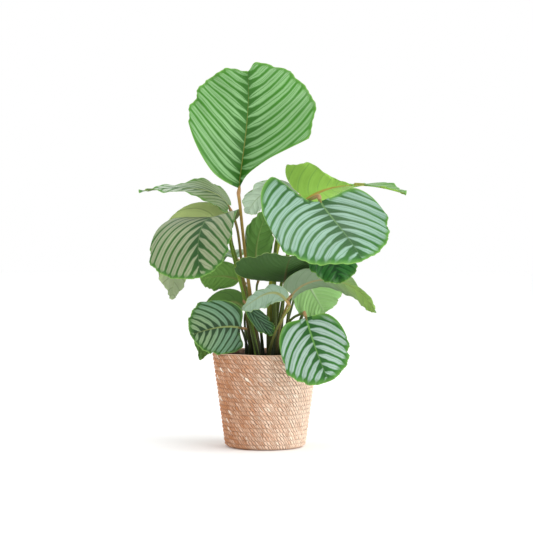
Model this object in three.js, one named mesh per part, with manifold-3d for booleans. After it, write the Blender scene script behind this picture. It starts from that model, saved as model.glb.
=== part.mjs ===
// Potted calathea: a round-leaved prayer plant in a plastic nursery pot, standing in a woven
// basket. Millimetres, +Z up, -Y is the front. The origin is under the pot's axis, on the floor.
import * as THREE from 'three';
import { mergeVertices } from 'three/addons/utils/BufferGeometryUtils.js';
import Module from 'manifold-3d';

const wasm = await Module();
wasm.setup();

// ---------------------------------------------------------------- driving sizes
const GAP = 0.3; // between pieces that touch
const BASKET_HEIGHT = 160;
const BASKET_RIM_RADIUS = 90;
const BASKET_FOOT_RADIUS = 68;
const BASKET_WALL = 5.5;
const BASKET_FLOOR = 5;
const FOOT_ROUNDING = 8;
const ROPE_ROWS = 16;
const BASKET_SIDES = 40;
const ROPE_RELIEF = 1.1; // height of a rope row over the groove beside it
const STRAND_RELIEF = 0.5; // strands stand in and out of the row by this much

const POT_HEIGHT = 147;
const POT_RIM_RADIUS = 79.5;
const POT_FOOT_RADIUS = 56;
const POT_WALL = 1.6;
const POT_LIP = 1.8;
const DRAIN_HOLES = 6;
const DRAIN_RADIUS = 4.5;

const SOIL_TOP = 143;
const SOIL_LUMP = 1.3;
const STEM_DEPTH = 15; // how far a stem stands in the soil
const STEM_SIDES = 6;
const HOLE_CLEARANCE = 0.35;

const BLADE_THICKNESS = 0.7;
const FIRST_VEIN = THREE.MathUtils.degToRad(84); // the first vein leaves the base this wide
const GRIDS = {
  broad: { veins: 14, across: 7 },
  large: { veins: 13, across: 5 },
  medium: { veins: 10, across: 4 },
  small: { veins: 8, across: 3 },
};

// Every leaf is set out on a front view: x and z as the viewer sees them on the plane of the
// pot's axis, and y its depth before (-) or behind (+) that plane.
const VIEWER = new THREE.Vector3(2, -3200, 400);
const setOut = ([x, y, z]) =>
  VIEWER.clone().lerp(new THREE.Vector3(x, 0, z), (y - VIEWER.y) / -VIEWER.y);

// ---------------------------------------------------------------- the leaves
// rib:   control points of the midrib, a cubic Bezier from the base to the tip
// half:  widest reach of the blade on its right (-) and left (+) side, as it grows
// face:  which way the upper face looks, from base to tip
// fold:  degrees that each half is raised from flat, at base, middle and tip
// curl:  degrees that each half's margin turns up beyond the fold, at base, middle and tip
// skew:  under 1 the blade is widest near the tip, over 1 near the base
// round: 1 for a round base, near 0 for a wedge
// lobe:  how far the blade reaches behind its base; ear: how far out it first does so in full
// pinch: over 1 the blade soon narrows to a strap
// ragged: mm that the margin wanders in and out
// notch: mm that the midrib ends short of the tip; dip: how far out the notch reaches in each half
// stem:  where it stands in the pot, two points on its way up, its radius and any more room
//        that its end leaves before a blade that is turned sharply there
const FLAT = [[0, 0, 0], [0, 0, 0]];
const CUPPED = [[10, 5, 0], [10, 5, 0]];
const LEAVES = [
  {
    name: 'top', size: 'large', half: [98, 118],
    rib: [[-44, -10, 436], [-38, -30, 500], [-22, -30, 570], [-31, 20, 647]],
    face: [[0, -1, 0.25], [0, -1, 0.4]],
    fold: [[42, 5, 0], [62, 5, 0]], notch: 17, dip: [0.2, 0.08], round: [0.5, -0.6], skew: [1, 1.1],
    wave: [3, 3, 0.1], ragged: 2.6,
    stem: { crown: [-8, -6], way: [[-30, -4, 290], [-40, -12, 380]], radius: 2.6 },
  },
  {
    name: 'left_high', size: 'medium', half: [34, 40],
    rib: [[-61, 44, 404], [-76, 30, 436], [-116, 4, 442], [-214, -20, 431]],
    face: [[0, -0.1, 1], [-0.05, -0.3, 1]],
    fold: [[-52, -20, 0], [40, 14, 0]], lobe: [0.03, 0.07], wave: [3, 3, 0], skew: [2.2, 2.8],
    pinch: [4, 2.2],
    stem: { crown: [-20, 2], way: [[-38, 22, 290], [-46, 44, 360]], radius: 2.3, room: 0.35 },
  },
  {
    name: 'left_front', size: 'large', half: [57, 84],
    rib: [[-66, 35, 372], [-84, 15, 406], [-128, -50, 388], [-109, -78, 286]],
    face: [[-0.35, -0.3, 0.9], [-0.05, -1, 0.1]],
    fold: [[20, 5, 0], [0, 0, -6]], skew: [0.86, 0.5], round: [1, 0.8],
    stem: { crown: [-12, -19], way: [[-26, -16, 213], [-51, 0, 310]], radius: 2.5 },
  },
  {
    name: 'left_back', size: 'medium', half: [50, 42],
    rib: [[-66, 62, 364], [-95, 70, 397], [-150, 85, 383], [-158, 60, 248]],
    face: [[-0.3, 0.6, 0.7], [-0.6, 0.8, 0.1]], fold: CUPPED, skew: [1.1, 1.4], pinch: [1.8, 1.3],
    stem: { crown: [-23, 16], way: [[-30, 34, 240], [-48, 54, 315]], radius: 2.2 },
  },
  {
    name: 'left_small', size: 'small', half: [26, 26],
    rib: [[-44, 62, 280], [-65, 62, 292], [-90, 58, 288], [-110, 55, 282]],
    face: [[0, 0.9, 0.4], [0, 0.9, 0.3]], fold: CUPPED,
    stem: { crown: [-13, 26], way: [[-22, 40, 200], [-34, 56, 250]], radius: 1.9 },
  },
  {
    name: 'low_left', size: 'medium', half: [44, 47],
    rib: [[-42, -34, 200], [-65, -50, 206], [-98, -60, 199], [-126, -66, 187]],
    face: [[-0.1, -1, 0.15], [-0.1, -1, 0.15]], fold: CUPPED, lobe: [0.24, 0.06],
    stem: { crown: [-26, -14], way: [[-27, -20, 170], [-32, -28, 190]], radius: 1.9, room: 0.2 },
  },
  {
    name: 'low_left_back', size: 'medium', half: [24, 33],
    rib: [[-38, 20, 236], [-62, 28, 260], [-97, 32, 232], [-110, 10, 145]],
    face: [[0, 1, 0.2], [-0.2, 1, 0.2]], fold: CUPPED, skew: [1.4, 1.4], pinch: [1.5, 1.6],
    stem: { crown: [-33, 4], way: [[-33, 8, 180], [-35, 15, 214]], radius: 1.9 },
  },
  {
    name: 'right_front', size: 'broad', half: [79, 117],
    rib: [[93, -50, 414], [104, -66, 392], [135, -140, 365], [165, -176, 314]],
    face: [[-0.1, -0.75, 0.6], [0, -0.6, 0.75], [0.1, -0.7, 0.7]],
    fold: [[4, 5, 0], [22, 8, 0]],
    lobe: [0.15, 0.47], ear: [0.6, 0.4], skew: [1.04, 0.76],
    stem: { crown: [13, -12], way: [[15, 7, 280], [26, -10, 370]], radius: 2.8, room: 1.1 },
  },
  {
    name: 'right_back', size: 'large', half: [56, 71],
    rib: [[67, 60, 415], [105, 72, 448], [165, 85, 452], [238, 80, 426]],
    face: [[-0.4, 1, 0.2], [0, -0.1, 1], [0.1, -0.3, 1]],
    fold: [[0, 0, 0], [20, 0, 0]], skew: [0.9, 4], round: [1, 0.05], lobe: [0.03, 0.03], pinch: [1, 9],
    ragged: 5,
    stem: { crown: [11, 5], way: [[12, 26, 290], [32, 48, 370]], radius: 4.2, room: 0.3 },
  },
  {
    name: 'pale_back', size: 'medium', half: [25, 25],
    rib: [[55, 100, 425], [25, 110, 441], [-12, 105, 438], [-30, 90, 393]],
    face: [[0, 0.5, 1], [0, 0.8, 0.5]], fold: CUPPED,
    stem: { crown: [24, 20], way: [[36, 60, 300], [52, 90, 380]], radius: 2 },
  },
  {
    name: 'centre_up', size: 'small', half: [26, 22],
    rib: [[-14, 52, 290], [-20, 58, 330], [-12, 62, 368], [4, 58, 396]],
    face: [[0, 1, 0], [0, 1, 0]], fold: CUPPED,
    stem: { crown: [-3, 13], way: [[-8, 30, 200], [-14, 48, 250]], radius: 1.9 },
  },
  {
    name: 'centre_dark', size: 'medium', half: [46, 88],
    rib: [[33, 0, 278], [34, -25, 292], [36, -45, 308], [44, -60, 322]],
    face: [[0, 0.62, 0.78], [0, 0.62, 0.78]], fold: [[24, 16, 8], [0, -4, -4]],
    stem: { crown: [5, 23], way: [[19, 17, 190], [28, 8, 240]], radius: 2.2 },
  },
  {
    name: 'right_dark', size: 'small', half: [42, 42],
    rib: [[95, 2, 345], [105, -33, 335], [118, -58, 305], [128, -68, 276]],
    face: [[0.1, -0.8, 0.5], [0.1, -0.8, 0.5]], fold: CUPPED,
    stem: { crown: [35, 14], way: [[62, 58, 220], [92, 64, 300]], radius: 2.1 },
  },
  {
    name: 'right_mid', size: 'medium', half: [36, 37],
    rib: [[45, -20, 256], [70, -10, 292], [150, 0, 298], [188, -20, 226]],
    face: [[-0.3, 0.7, 0.7], [0, 0.5, 1], [0.3, 0.6, 0.6]],
    fold: [[25, 5, 0], [10, 0, 0]], skew: [1.5, 2.2], lobe: [0.1, 0.06], pinch: [1, 2.6],
    stem: { crown: [23, -14], way: [[22, -19, 190], [34, -24, 230]], radius: 2.1, room: 0.3 },
  },
  {
    name: 'right_pale', size: 'small', half: [38, 48],
    rib: [[70, 38, 280], [78, 41, 264], [90, 39, 245], [101, 30, 225]],
    face: [[0.1, 1, 0.2], [0.1, 1, 0.2]], fold: [[-6, -6, 0], [-6, -6, 0]], skew: [0.75, 0.75],
    stem: { crown: [30, 4], way: [[36, 34, 200], [46, 66, 262]], radius: 1.9 },
  },
  {
    name: 'grey_small', size: 'small', half: [12, 20],
    rib: [[34, -60, 248], [16, -64, 272], [-10, -62, 256], [-39, -55, 231]],
    face: [[0.1, 1, 0.1], [0.1, 1, 0.1]], fold: CUPPED, skew: [2, 1.2],
    stem: { crown: [5, -29], way: [[14, -48, 185], [33, -60, 222]], radius: 1.8 },
  },
  {
    name: 'low_right', size: 'large', half: [53, 58],
    rib: [[69, -92, 217], [78, -112, 186], [89, -124, 150], [108, -122, 109]],
    face: [[-0.1, -1, 0.2], [-0.1, -1, 0]], fold: CUPPED, lobe: [0.06, 0.09],
    stem: { crown: [24, -26], way: [[34, -50, 200], [56, -78, 222]], radius: 2.1 },
  },
  {
    name: 'inner_narrow', size: 'small', half: [13, 13],
    rib: [[-30, -34, 236], [-20, -37, 222], [-5, -36, 206], [16, -33, 190]],
    face: [[0, -1, 0.4], [0, -1, 0.4]], fold: CUPPED,
    stem: { crown: [-6, -32], way: [[-22, -36, 190], [-32, -34, 225]], radius: 1.5 },
  },
  {
    name: 'back_high', size: 'medium', half: [55, 55],
    rib: [[62, 122, 384], [80, 150, 402], [110, 194, 378], [120, 208, 324]],
    face: [[0.3, 0.3, 1], [0.3, 1, 0.3]], fold: CUPPED,
    stem: { crown: [14, 33], way: [[28, 70, 280], [50, 108, 370]], radius: 2.4 },
  },
  {
    name: 'back_left', size: 'medium', half: [48, 48],
    rib: [[-50, 102, 318], [-75, 135, 343], [-112, 182, 338], [-132, 204, 284]],
    face: [[-0.3, 0.3, 1], [-0.3, 1, 0.3]], fold: CUPPED,
    stem: { crown: [-6, 38], way: [[-24, 64, 235], [-40, 92, 292]], radius: 2.3 },
  },
  {
    name: 'back_low_right', size: 'small', half: [38, 38],
    rib: [[52, 80, 262], [66, 100, 290], [90, 150, 280], [105, 180, 235]],
    face: [[0.2, 0.3, 1], [0.2, 1, 0.3]], fold: CUPPED,
    stem: { crown: [27, 33], way: [[36, 50, 200], [46, 72, 240]], radius: 2 },
  },
  {
    name: 'back_low_left', size: 'small', half: [34, 34],
    rib: [[-50, 72, 222], [-65, 90, 245], [-85, 130, 235], [-95, 155, 185]],
    face: [[-0.2, 0.3, 1], [-0.2, 1, 0.3]], fold: CUPPED,
    stem: { crown: [-26, 28], way: [[-34, 42, 180], [-44, 62, 208]], radius: 1.9 },
  },
];

// ---------------------------------------------------------------- helpers
// a quadratic Bezier's weights carry a base, a middle and a tip value along a leaf
const along = ([base, middle, tip], u) =>
  (1 - u) ** 2 * base + 2 * u * (1 - u) * middle + u * u * tip;

// a closed geometry from points and triangles, its faces turned outward
function closedGeometry(points, triangles) {
  let volume = 0;
  for (const [a, b, c] of triangles) {
    volume += points[a].dot(new THREE.Vector3().crossVectors(points[b], points[c]));
  }
  const order = volume < 0 ? ([a, b, c]) => [a, c, b] : (t) => t;
  const geometry = new THREE.BufferGeometry().setFromPoints(points);
  geometry.setIndex(triangles.flatMap(order));
  return geometry;
}

// one closed skin: shared corners merged, flat triangles at the axis dropped
function welded(geometry) {
  geometry.deleteAttribute('normal');
  geometry.deleteAttribute('uv');
  const merged = mergeVertices(geometry, 1e-3);
  const index = Array.from(merged.index.array);
  const kept = [];
  for (let i = 0; i < index.length; i += 3) {
    const [a, b, c] = index.slice(i, i + 3);
    if (a !== b && b !== c && c !== a) kept.push(a, b, c);
  }
  merged.setIndex(kept);
  return merged;
}

function toSolid(geometry) {
  return new wasm.Manifold(new wasm.Mesh({
    numProp: 3,
    vertProperties: new Float32Array(geometry.attributes.position.array),
    triVerts: new Uint32Array(geometry.index.array),
  }));
}

function toGeometry(solid) {
  const mesh = solid.getMesh();
  const geometry = new THREE.BufferGeometry();
  geometry.setAttribute('position', new THREE.BufferAttribute(mesh.vertProperties, 3));
  geometry.setIndex(new THREE.BufferAttribute(mesh.triVerts, 1));
  return geometry;
}

// a turned body from its profile of [radius, height], standing up along Z
function turned(profile, sides) {
  const points = profile.map(([r, z]) => new THREE.Vector2(r, z));
  return new THREE.LatheGeometry(points, sides).rotateX(Math.PI / 2);
}

// ---------------------------------------------------------------- the basket
function basketGeometry() {
  const radiusAt = (z) => THREE.MathUtils.lerp(BASKET_FOOT_RADIUS, BASKET_RIM_RADIUS, z / BASKET_HEIGHT);
  const rowHeight = (BASKET_HEIGHT - FOOT_ROUNDING) / ROPE_ROWS;
  const profile = [[0, 0], [BASKET_FOOT_RADIUS - FOOT_ROUNDING, 0]];
  profile.push([BASKET_FOOT_RADIUS - 0.3 * FOOT_ROUNDING, 0.3 * FOOT_ROUNDING]);
  const firstGroove = profile.length;
  for (let row = 0; row < ROPE_ROWS; row++) {
    const z = FOOT_ROUNDING + row * rowHeight;
    profile.push([radiusAt(z) - ROPE_RELIEF, z]);
    profile.push([radiusAt(z + rowHeight / 2), z + rowHeight / 2]);
  }
  profile.push([radiusAt(BASKET_HEIGHT) - 1.5, BASKET_HEIGHT]);
  profile.push([radiusAt(BASKET_HEIGHT) - BASKET_WALL, BASKET_HEIGHT - 1]);
  profile.push([radiusAt(BASKET_FLOOR) - BASKET_WALL - 2, BASKET_FLOOR], [0, BASKET_FLOOR]);
  const geometry = turned(profile, BASKET_SIDES);
  // the strands of a row stand in and out by turns, one place further round in each row
  const position = geometry.attributes.position;
  for (let side = 0; side <= BASKET_SIDES; side++) {
    for (let row = 0; row < ROPE_ROWS; row++) {
      const vertex = side * profile.length + firstGroove + 2 * row + 1;
      const push = ((side % BASKET_SIDES) + row) % 2 ? 0 : -STRAND_RELIEF;
      const x = position.getX(vertex);
      const y = position.getY(vertex);
      const scale = 1 + push / Math.hypot(x, y);
      position.setXY(vertex, x * scale, y * scale);
    }
  }
  return welded(geometry);
}

// ---------------------------------------------------------------- the nursery pot and its soil
function potGeometry() {
  const bottom = BASKET_FLOOR + GAP;
  const top = bottom + POT_HEIGHT - 1;
  const shell = welded(turned([
    [0, bottom], [POT_FOOT_RADIUS, bottom],
    [POT_RIM_RADIUS - POT_LIP, top - 8], [POT_RIM_RADIUS, top - 8], [POT_RIM_RADIUS, top],
    [POT_RIM_RADIUS - POT_LIP - POT_WALL, top], [POT_FOOT_RADIUS - POT_WALL, bottom + POT_WALL],
    [0, bottom + POT_WALL],
  ], 48));
  let pot = toSolid(shell);
  for (let hole = 0; hole < DRAIN_HOLES; hole++) {
    const angle = (hole / DRAIN_HOLES) * 2 * Math.PI;
    const drill = new THREE.CylinderGeometry(DRAIN_RADIUS, DRAIN_RADIUS, 6 * POT_WALL, 10);
    drill.rotateX(Math.PI / 2);
    const ring = 0.62 * POT_FOOT_RADIUS;
    drill.translate(ring * Math.cos(angle), ring * Math.sin(angle), bottom);
    pot = pot.subtract(toSolid(welded(drill)));
  }
  return toGeometry(pot);
}

function soilGeometry(stemHoles) {
  const bottom = BASKET_FLOOR + GAP + POT_WALL + GAP;
  const potTop = BASKET_FLOOR + GAP + POT_HEIGHT - 1;
  const slope = (POT_RIM_RADIUS - POT_LIP - POT_FOOT_RADIUS) / (potTop - bottom);
  const topRadius = POT_FOOT_RADIUS - POT_WALL - GAP + slope * (SOIL_TOP - bottom) - 0.6;
  const rings = [1, 0.84, 0.68, 0.52, 0.3];
  const profile = [[0, bottom], [POT_FOOT_RADIUS - POT_WALL - 2 * GAP, bottom]];
  rings.forEach((share) => profile.push([share * topRadius, SOIL_TOP]));
  profile.push([0, SOIL_TOP]);
  const sides = 24;
  const geometry = turned(profile, sides);
  const position = geometry.attributes.position;
  for (let side = 0; side <= sides; side++) {
    for (let ring = 1; ring < rings.length; ring++) {
      const vertex = side * profile.length + 2 + ring;
      const lump = Math.sin(2.7 * ring + 1.9 * (side % sides)) * Math.cos(1.3 * ring * (side % sides));
      position.setZ(vertex, SOIL_TOP + SOIL_LUMP * lump);
    }
  }
  let soil = toSolid(welded(geometry));
  for (const hole of stemHoles) soil = soil.subtract(toSolid(hole));
  return toGeometry(soil);
}

// ---------------------------------------------------------------- a leaf blade
function midrib(leaf) {
  const curve = new THREE.CubicBezierCurve3(...leaf.rib.map(setOut));
  curve.arcLengthDivisions = 400;
  return curve;
}

// where the midrib is at distance s from the base, with its direction, face and side
function ribFrame(curve, length, face, s) {
  const u = THREE.MathUtils.clamp(s / length, 0, 1);
  const tangent = curve.getTangentAt(u);
  const point = curve.getPointAt(u).addScaledVector(tangent, Math.min(s, 0));
  const looks = face.map((f) => new THREE.Vector3(...f).normalize());
  if (looks.length === 2) looks.splice(1, 0, looks[0].clone().lerp(looks[1], 0.5));
  const normal = new THREE.Vector3(
    ...['x', 'y', 'z'].map((k) => along(looks.map((v) => v[k]), u)),
  );
  normal.addScaledVector(tangent, -normal.dot(tangent)).normalize();
  return { u, tangent, point, normal, side: new THREE.Vector3().crossVectors(tangent, normal) };
}

// A blade is a sheaf of veins. Vein a (0 first, 1 at the tip) leaves the midrib at s0 and sweeps
// forward to the margin at (s1, t1); b runs along it, from -1 at one margin to 1 at the other.
function bladePoint(leaf, curve, a, b) {
  const length = curve.getLength();
  const sign = b < 0 ? -1 : 1;
  const pick = (pair) => (b < 0 ? pair[0] : pair[1]);
  const reach = Math.abs(b);
  const notch = leaf.notch ?? 0;
  const theta = FIRST_VEIN + (Math.PI - FIRST_VEIN) * a;
  const s0 = (length - notch) * a;
  const s1 = length * ((1 - Math.cos(theta)) / 2) ** pick(leaf.skew ?? [0.86, 0.86])
    - notch * Math.exp(-((Math.sin(theta) / pick(leaf.dip ?? [0.13, 0.13])) ** 2));
  const wander = Math.sin(2 * Math.PI * (2.3 * a + (b < 0 ? 0.1 : 0.6)))
    + 0.7 * Math.sin(2 * Math.PI * (4.7 * a + (b < 0 ? 0.5 : 0.2)));
  const t1 = pick(leaf.half) * Math.sin(theta) ** pick(leaf.pinch ?? [1, 1])
    + (leaf.ragged ?? 2) * wander * Math.sin(theta);
  const sweep = pick(leaf.round ?? [1, 1]) * (1 - 0.6 * Math.sqrt(a));
  const quarter = (reach * Math.PI) / 2;
  const lobe = pick(leaf.lobe ?? [0.03, 0.03]) * length * (1 - a) ** 5 * (1 - reach ** 6)
    * THREE.MathUtils.smoothstep(reach, 0, pick(leaf.ear ?? [0.5, 0.5])) ** 1.5;
  const s = s0 + (s1 - s0) * ((1 - sweep) * reach + sweep * (1 - Math.cos(quarter))) - lobe;
  const t = t1 * ((1 - sweep) * reach + sweep * Math.sin(quarter));
  const { u, point, normal, side } = ribFrame(curve, length, leaf.face, s);

  // the section across: raised by the fold at the midrib, turned up further towards the margin
  const fold = along(pick(leaf.fold), u);
  const curl = along(pick(leaf.curl ?? FLAT), u);
  const angleAt = (d) =>
    THREE.MathUtils.degToRad(fold + curl * (d / pick(leaf.half)) ** (leaf.curlPower ?? 2));
  let out = 0;
  let up = 0;
  const steps = 16;
  for (let k = 0; k < steps; k++) {
    const angle = angleAt(((k + 0.5) / steps) * t);
    out += (Math.cos(angle) * t) / steps;
    up += (Math.sin(angle) * t) / steps;
  }
  const [height, waves, phase] = leaf.wave ?? [2.5, 2.5, 0];
  const turn = 2 * Math.PI * (waves * a + phase + (b < 0 ? 0 : 0.37));
  const wave = height * reach ** 2 * Math.sin(turn) * Math.min(1, 8 * a);
  const margin = angleAt(t);
  return point
    .addScaledVector(side, sign * (out - wave * Math.sin(margin)))
    .addScaledVector(normal, up + wave * Math.cos(margin));
}

function bladeGeometry(leaf) {
  const curve = midrib(leaf);
  const { veins, across } = GRIDS[leaf.size];
  const width = 2 * across + 1;
  const middle = [];
  for (let i = 0; i < veins; i++) {
    for (let j = -across; j <= across; j++) {
      middle.push(bladePoint(leaf, curve, i / veins, j / across));
    }
  }
  const tip = middle.length;
  middle.push(bladePoint(leaf, curve, 1, 0));
  const at = (i, j) => (i === veins ? tip : i * width + j);

  // the sheet's triangles, split alike for the upper and the lower skin
  const sheet = [];
  for (let i = 0; i < veins; i++) {
    for (let j = 0; j < width - 1; j++) {
      sheet.push([at(i, j), at(i + 1, j), at(i, j + 1)]);
      if (i < veins - 1) sheet.push([at(i, j + 1), at(i + 1, j), at(i + 1, j + 1)]);
    }
  }
  const normals = middle.map(() => new THREE.Vector3());
  for (const [a, b, c] of sheet) {
    const ab = middle[b].clone().sub(middle[a]);
    const ac = middle[c].clone().sub(middle[a]);
    const normal = ab.cross(ac);
    for (const corner of [a, b, c]) normals[corner].add(normal);
  }
  normals.forEach((normal) => normal.normalize());
  const skin = (offset) => middle.map((p, k) => p.clone().addScaledVector(normals[k], offset));
  const points = [...skin(BLADE_THICKNESS / 2), ...skin(-BLADE_THICKNESS / 2)];
  const below = middle.length;
  const triangles = [...sheet, ...sheet.map(([a, b, c]) => [a + below, c + below, b + below])];

  // the edge between the skins, once round the margin
  const rim = [];
  for (let j = width - 1; j > 0; j--) rim.push(at(0, j));
  for (let i = 0; i < veins; i++) rim.push(at(i, 0));
  rim.push(tip);
  for (let i = veins - 1; i > 0; i--) rim.push(at(i, width - 1));
  rim.forEach((here, k) => {
    const next = rim[(k + 1) % rim.length];
    triangles.push([here, here + below, next], [next, here + below, next + below]);
  });
  return closedGeometry(points, triangles);
}

// ---------------------------------------------------------------- a stem
const KNEE = 12; // length of the jointed knee that turns the stem into its blade

// the stem's path: a sweep from the crown to the knee, then the knee's bend into the blade
function stemPath(leaf) {
  const rib = midrib(leaf);
  const base = rib.getPointAt(0);
  const into = rib.getTangentAt(0);
  const { crown, way, room = 0 } = leaf.stem;
  const end = base.clone().addScaledVector(into, -(GAP + 0.3 + room));
  const knee = base.clone().addScaledVector(into, -KNEE);
  const start = new THREE.Vector3(...crown, SOIL_TOP - STEM_DEPTH);
  const [first, second] = way.map(setOut);
  // handles that take the sweep through its two way points
  const handle = (a, b, c, d) => new THREE.Vector3()
    .addScaledVector(a, -5 / 6).addScaledVector(b, 3)
    .addScaledVector(c, -1.5).addScaledVector(d, 1 / 3);
  const sweep = new THREE.CubicBezierCurve3(
    start, handle(start, first, second, knee), handle(knee, second, first, start), knee,
  );
  const lead = sweep.getTangentAt(1);
  const bend = new THREE.CubicBezierCurve3(
    knee, knee.clone().addScaledVector(lead, KNEE / 3), end.clone().addScaledVector(into, -KNEE / 3), end,
  );
  return { sweep, bend };
}

// rings round the path, wide as a sheath in the soil, slim above, and full again at the knee
function stemGeometry(leaf, extra = 0) {
  const { sweep, bend } = stemPath(leaf);
  const { radius } = leaf.stem;
  const stations = [];
  for (const u of [0, 0.08, 0.2, 0.35, 0.5, 0.66, 0.82, 0.93]) {
    const sheath = 0.95 * Math.max(0, 1 - u / 0.6);
    stations.push({ point: sweep.getPointAt(u), tangent: sweep.getTangentAt(u), r: radius * (1 + sheath) });
  }
  for (const u of [0, 0.5, 1]) {
    const r = radius * (1.15 - 0.15 * u);
    stations.push({ point: bend.getPointAt(u), tangent: bend.getTangentAt(u), r });
  }
  const points = [];
  const across = new THREE.Vector3(1, 0, 0);
  for (const { point, tangent, r } of stations) {
    across.addScaledVector(tangent, -across.dot(tangent)).normalize();
    const other = new THREE.Vector3().crossVectors(tangent, across);
    for (let k = 0; k < STEM_SIDES; k++) {
      const angle = (k / STEM_SIDES) * 2 * Math.PI;
      points.push(point.clone()
        .addScaledVector(across, (r + extra) * Math.cos(angle))
        .addScaledVector(other, (r + extra) * Math.sin(angle)));
    }
  }
  const triangles = [];
  const at = (ring, k) => ring * STEM_SIDES + (k % STEM_SIDES);
  for (let ring = 0; ring + 1 < stations.length; ring++) {
    for (let k = 0; k < STEM_SIDES; k++) {
      triangles.push([at(ring, k), at(ring, k + 1), at(ring + 1, k)]);
      triangles.push([at(ring, k + 1), at(ring + 1, k + 1), at(ring + 1, k)]);
    }
  }
  const last = stations.length - 1;
  for (let k = 1; k + 1 < STEM_SIDES; k++) {
    triangles.push([at(0, 0), at(0, k + 1), at(0, k)], [at(last, 0), at(last, k), at(last, k + 1)]);
  }
  return closedGeometry(points, triangles);
}

// the hole a stem stands in: its own lower stretch, a little wider and a little deeper
function stemHole(leaf) {
  const hole = stemGeometry(leaf, HOLE_CLEARANCE);
  const position = hole.attributes.position;
  for (let k = 0; k < STEM_SIDES; k++) position.setZ(k, position.getZ(k) - GAP);
  return hole;
}

// ---------------------------------------------------------------- the assembly
const finish = (color, roughness) => new THREE.MeshStandardMaterial({ color, roughness, metalness: 0 });
const LEAF_GREEN = finish('#5f9450', 0.45);
const STEM_GREEN = finish('#6f7d33', 0.5);
const BASKET_STRAW = finish('#c69a73', 0.85);
const POT_BLACK = finish('#3a322c', 0.5);
const SOIL_BROWN = finish('#2c211a', 0.95);

const plant = new THREE.Group();
function add(name, geometry, material) {
  const mesh = new THREE.Mesh(geometry, material.clone());
  mesh.name = name;
  plant.add(mesh);
}

add('basket', basketGeometry(), BASKET_STRAW);
add('grow_pot', potGeometry(), POT_BLACK);
add('soil', soilGeometry(LEAVES.map(stemHole)), SOIL_BROWN);
for (const leaf of LEAVES) {
  add(`stem_${leaf.name}`, stemGeometry(leaf), STEM_GREEN);
  add(`leaf_${leaf.name}`, bladeGeometry(leaf), LEAF_GREEN);
}

export default plant;
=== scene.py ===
# Potted calathea, dressed for rendering: waved and pleated leaf blades with silvery bands, grooved
# stems with pink knees, a lumpy soil bed and a basket woven of twisted rope.
import math

import bpy
import numpy as np
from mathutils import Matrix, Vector


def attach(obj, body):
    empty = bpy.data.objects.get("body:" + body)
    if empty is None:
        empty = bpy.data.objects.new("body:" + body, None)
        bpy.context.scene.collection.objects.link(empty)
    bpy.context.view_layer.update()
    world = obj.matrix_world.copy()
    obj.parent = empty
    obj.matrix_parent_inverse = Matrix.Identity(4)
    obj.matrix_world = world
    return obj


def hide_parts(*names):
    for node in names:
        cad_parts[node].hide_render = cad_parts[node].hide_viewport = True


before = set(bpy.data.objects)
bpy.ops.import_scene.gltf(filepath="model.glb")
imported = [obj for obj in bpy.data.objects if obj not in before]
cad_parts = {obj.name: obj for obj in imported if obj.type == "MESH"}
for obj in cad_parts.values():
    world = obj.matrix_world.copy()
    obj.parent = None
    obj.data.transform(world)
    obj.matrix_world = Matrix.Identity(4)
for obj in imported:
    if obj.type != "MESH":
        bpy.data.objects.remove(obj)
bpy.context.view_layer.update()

TURN = 2 * math.pi

# ------------------------------------------------------------------------------ sizes, in mm
SOIL_TOP = 143
STEM_DEPTH = 15  # how far a stem goes into the soil
STEM_SIDES = 16
STEM_END_GAP = 0.6
FOOT_SWELL = 1.95  # a stem's radius at its foot, as a multiple of what it is above
KNEE_SWELL = 1.15
KNEE = 12  # length of the soft joint between a stem and its blade
BLADE_THICKNESS = 0.6
MARGIN_THICKNESS = 0.3
PLEAT = 0.4  # height of the pleats that the veins make
POINT_BUNCHING = 1.3  # above 1 draws the points along a vein towards the midrib
RIB_RIDGE = 0.85  # height of the midrib under the blade's base, as a share of the stem's radius
RIB_TIP = 0.35  # height that it keeps at the tip
MARGIN_NIBBLE = 1.0
MARGIN_RIPPLE = 1.2
RIPPLES = 8.5
SMALL_HALF = 50  # blades narrower than this to a side are nibbled and rippled less
FIRST_VEIN = math.radians(84)
VIEWER = np.array((2.0, -3200.0, 400.0))
AIM = np.array((2.0, 0.0, 304.0))

BASKET_HEIGHT = 160
BASKET_RIM_RADIUS = 90
BASKET_FOOT_RADIUS = 68
BASKET_WALL = 5.5
BASKET_FLOOR = 5
FOOT_ROUNDING = 8
ROPE_ROWS = 22
ROPE_STRANDS = 116
ROW_POINTS = 5  # points of the mesh up a row of rope
STRAND_POINTS = 5  # and across a strand
STRAND_LEAN = 1.7  # strand widths that a strand leans over in its row
ROW_RELIEF = 0.6
STRAND_RELIEF = 1.4
STRAND_BED = 1.9  # how far inside the basket's outer radius the strands lie
UNEVEN = 0.5  # strand widths that a row wanders
WEAVE_MARGIN = 1.5  # from the table to the lowest row, and from the top row to the rim
ROW_HEIGHT = (BASKET_HEIGHT - 2 * WEAVE_MARGIN) / ROPE_ROWS
FOOT_TUCK = 0.55  # how far the wall draws in at the foot, as a share of its rounding
LIP_DEPTH = 2.0
LIP_RISE = 1.4
INSIDE_ROWS = 6
POT_HEIGHT = 147
POT_RIM_RADIUS = 79.5
POT_FOOT_RADIUS = 56
POT_WALL = 1.6
POT_LIP = 1.8
SOIL_GAP = 0.6  # between the soil and the pot's floor
CLOD_SINK = 0.6  # how far the soil's surface lies below SOIL_TOP between the clods
CLODS = ((0.9, 8.0), (0.8, 3.1), (0.45, 1.35))  # height and span of each size of clod

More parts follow.
